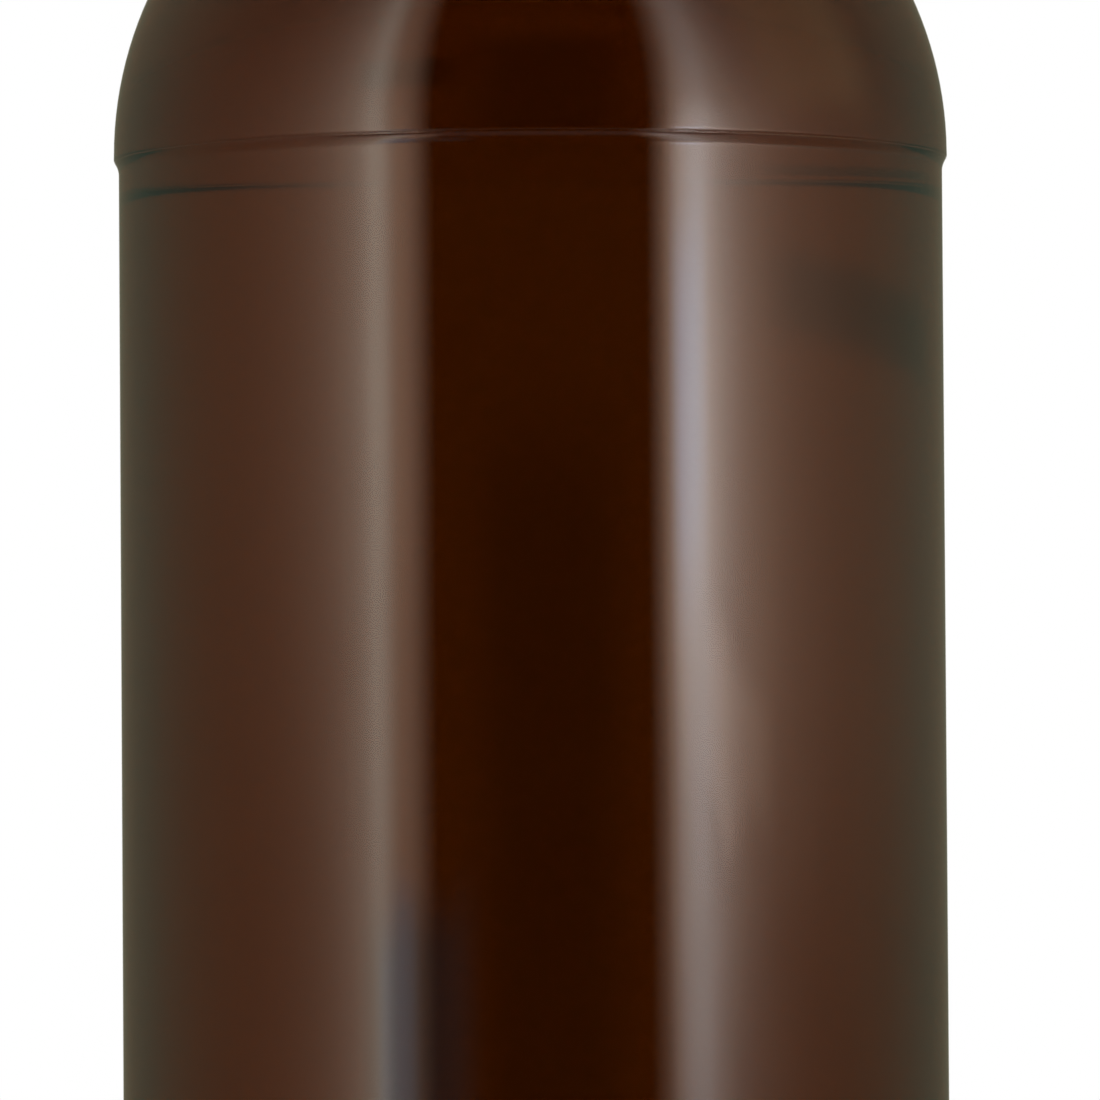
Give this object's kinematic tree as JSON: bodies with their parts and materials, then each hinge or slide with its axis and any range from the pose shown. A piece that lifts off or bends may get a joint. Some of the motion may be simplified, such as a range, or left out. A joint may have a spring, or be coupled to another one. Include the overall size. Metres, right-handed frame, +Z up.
{
  "type": "whisky bottle",
  "caption": "Round dark amber glass whisky bottle with a domed shoulder, a recessed label panel and a long metal closure, filled and shut.",
  "frame": {"origin": "middle of the base ring, on the surface that the bottle stands on", "axes": "+Z up along the bottle's axis, -Y towards the viewer of the picture, +X to the viewer's right; the mould seams lie at +X and -X"},
  "size_m": [0.0768, 0.0768, 0.288],
  "materials": {
    "amber_glass": "very dark red-brown amber glass, smooth and glossy outside",
    "whisky": "clear amber spirit",
    "closure_metal": "satin near-black lacquer on thin aluminium, with a ribbed grip band"
  },
  "bodies": {
    "root": {"glass_bottle": "amber_glass", "whisky": "whisky", "closure": "closure_metal"}
  },
  "joints": []
}
